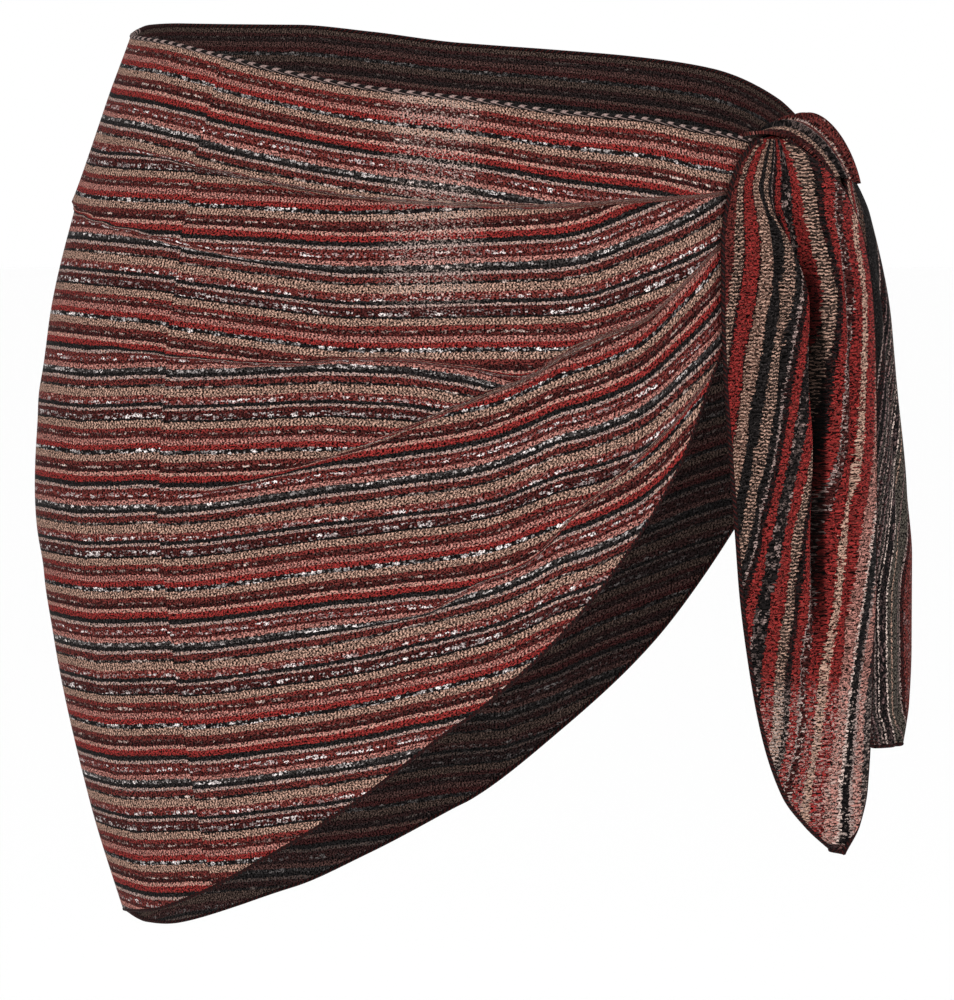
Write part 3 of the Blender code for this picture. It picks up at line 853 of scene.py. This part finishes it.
# As columns of the stripe chart
TAIL_END_STRIPES = (
    (10.0, "black", "charcoal", "flecks"),
    (1.1, "dun", "charcoal", "plain"),
    (4.0, "black", "wine", "plain"),
    (0.8, "mauve", "charcoal", "plain"),
    (2.2, "black", "charcoal", "flecks"),
    (0.8, "mauve", "charcoal", "plain"),
    (1.7, "charcoal", "moss", "plain"),
    (0.7, "dun", "charcoal", "plain"),
    (1.3, "charcoal", "wine", "plain"),
    (0.7, "mauve", "charcoal", "plain"),
    (1.3, "charcoal", "moss", "plain"),
    (0.7, "dun", "charcoal", "plain"),
    (1.3, "charcoal", "wine", "plain"),
    (0.7, "mauve", "charcoal", "plain"),
    (1.3, "charcoal", "moss", "plain"),
    (0.7, "dun", "charcoal", "plain"),
    (0.8, "black", "charcoal", "plain"),
    (1.0, "cream", "black", "dots"),
    (3.4, "black", "mauve", "flecks"),
    (1.0, "cream", "black", "dots"),
    (2.0, "moss", "charcoal", "plain"),
    (1.0, "tan", "moss", "plain"),
    (4.0, "moss", "charcoal", "plain"),
    (0.8, "mauve", "moss", "plain"),
    (5.0, "moss", "charcoal", "plain"),
    (1.2, "dun", "black", "dots"),
    (2.0, "wine", "black", "plain"),
    (8.0, "maroon", "mauve", "flecks"),
    (3.4, "tan", "brown", "zigzag"),
    (3.6, "red", "maroon", "plain"),
    (1.0, "dun", "wine", "plain"),
    (3.0, "brown", "moss", "plain"),
)
# How far its stripes run on round the tail. Columns: height, millimetres
TAIL_END_LEAD = (
    (-43, -18),
    (-70, -16),
    (-104, -11),
    (-125, -6),
    (-149, 0),
    (-177, 7),
    (-202, 12),
    (-228, 16.5),
    (-262, 17),
    (-290, 19),
)


def rear_tail():
    """The tail as a thin arched wall, its stripes leading round it on their way down."""
    columns, rows = 120, 170
    place = np.linspace(0, 1, columns)[:, None]
    height = np.linspace(REAR_TAIL[0][0], REAR_TAIL[-1][0], rows)[None]
    start, end = column(REAR_TAIL, 2, height), column(REAR_TAIL, 3, height)
    reach = column(REAR_TAIL, 1, height)
    angle = start + (end - start) * place
    height = height + 0 * place
    arch = np.clip(np.sin(math.pi * place), 0, 1) ** 0.7
    out = REAR_EDGE_OUT + (reach - REAR_EDGE_OUT) * arch
    for middle, depth, half_width in REAR_VALLEYS:
        out = out - depth * blend(-60, -120, height) * np.exp(-np.abs((place - middle) / half_width) ** 1.5)
    out = clear_of_core(angle, height, out)
    outer = tail_points(angle, height, out + CLOTH_OUT)
    inner = tail_points(angle, height, out + CLOTH_IN)
    gathered = 1.35 - 0.2 * blend(-120, -290, height)
    across = arc_length(outer) / gathered + column(TAIL_END_LEAD, 1, height)
    end_cloth = striped_knit("tail_end_cloth", TAIL_END_STRIPES, -6.0, shade=0.85)
    piece = cloth_wall("rear_tail_cloth", outer, inner, -height, across, (end_cloth, shaded_wrong_side))
    ride_and_slot(piece, "rear_tail")
    middle = (outer + inner) / 2
    outline = np.concatenate((middle[0, :-1], middle[:, -1], middle[-1, -2::-1]))
    roll = edge_roll("rear_tail_roll", outline, 1.0, dark_thread_and_shade)


rear_tail()

# The studio: a plain pale floor well below the hanging skirt, soft even light from all round and
# a little from the front and the knot side, and the camera at the photograph's angle, with a long
# lens.
CAMERA_RISE = 4.0           # degrees above the horizon
CAMERA_FAR = 2400.0         # millimetres
CAMERA_AIM = (7.0, 0.0, -185.7)
PHOTO_TALL = 440.0          # what the photograph's height covers at the skirt, in millimetres
FLOOR_DROP = 900.0
HALF_FLOOR = 30.0           # metres, so that no edge of it shows


def pale_surface(name, value):
    """Plain matt paint."""
    material = bpy.data.materials.new(name)
    material.use_nodes = True
    shader = material.node_tree.nodes["Principled BSDF"]
    shader.inputs["Base Color"].default_value = (value, value, value, 1.0)
    shader.inputs["Roughness"].default_value = 0.9
    return material


def soft_light(name, place, size, power):
    """Square area light aimed at the skirt."""
    light = bpy.data.lights.new(name, "AREA")
    light.shape = "SQUARE"
    light.size = size
    light.energy = power
    lamp = bpy.data.objects.new(name, light)
    bpy.context.scene.collection.objects.link(lamp)
    lamp.location = place
    aim = np.array(CAMERA_AIM) * MM - np.array(place)
    from_above = math.atan2(math.hypot(aim[0], aim[1]), -aim[2])
    lamp.rotation_euler = (from_above, 0.0, math.atan2(-aim[0], aim[1]))


floor_mesh = bpy.data.meshes.new("floor")
corners = ((-1, -1), (1, -1), (1, 1), (-1, 1))
floor_mesh.from_pydata([(x * HALF_FLOOR, y * HALF_FLOOR, -FLOOR_DROP * MM) for x, y in corners], [],
                       [(0, 1, 2, 3)])
floor_mesh.materials.append(pale_surface("floor_paint", 0.985))
floor = bpy.data.objects.new("floor", floor_mesh)
bpy.context.scene.collection.objects.link(floor)

world = bpy.data.worlds.new("studio")
bpy.context.scene.world = world
world.use_nodes = True
backdrop = world.node_tree.nodes["Background"]
backdrop.inputs["Color"].default_value = (1.0, 1.0, 1.0, 1.0)
backdrop.inputs["Strength"].default_value = 1.0
soft_light("front_light", (-0.5, -2.2, 1.0), 1.2, 16.0)
soft_light("side_light", (1.6, -1.2, 0.4), 1.0, 4.0)

camera_data = bpy.data.cameras.new("camera")
camera = bpy.data.objects.new("camera", camera_data)
bpy.context.scene.collection.objects.link(camera)
rise = math.radians(CAMERA_RISE)
camera.location = (CAMERA_AIM[0] * MM, (CAMERA_AIM[1] - CAMERA_FAR * math.cos(rise)) * MM,
                   (CAMERA_AIM[2] + CAMERA_FAR * math.sin(rise)) * MM)
camera.rotation_euler = (math.pi / 2 - rise, 0.0, 0.0)
camera_data.sensor_width = 36.0
camera_data.lens = camera_data.sensor_width * CAMERA_FAR / PHOTO_TALL
camera_data.clip_end = 200.0
bpy.context.scene.camera = camera
bpy.context.scene.view_settings.view_transform = "Standard"
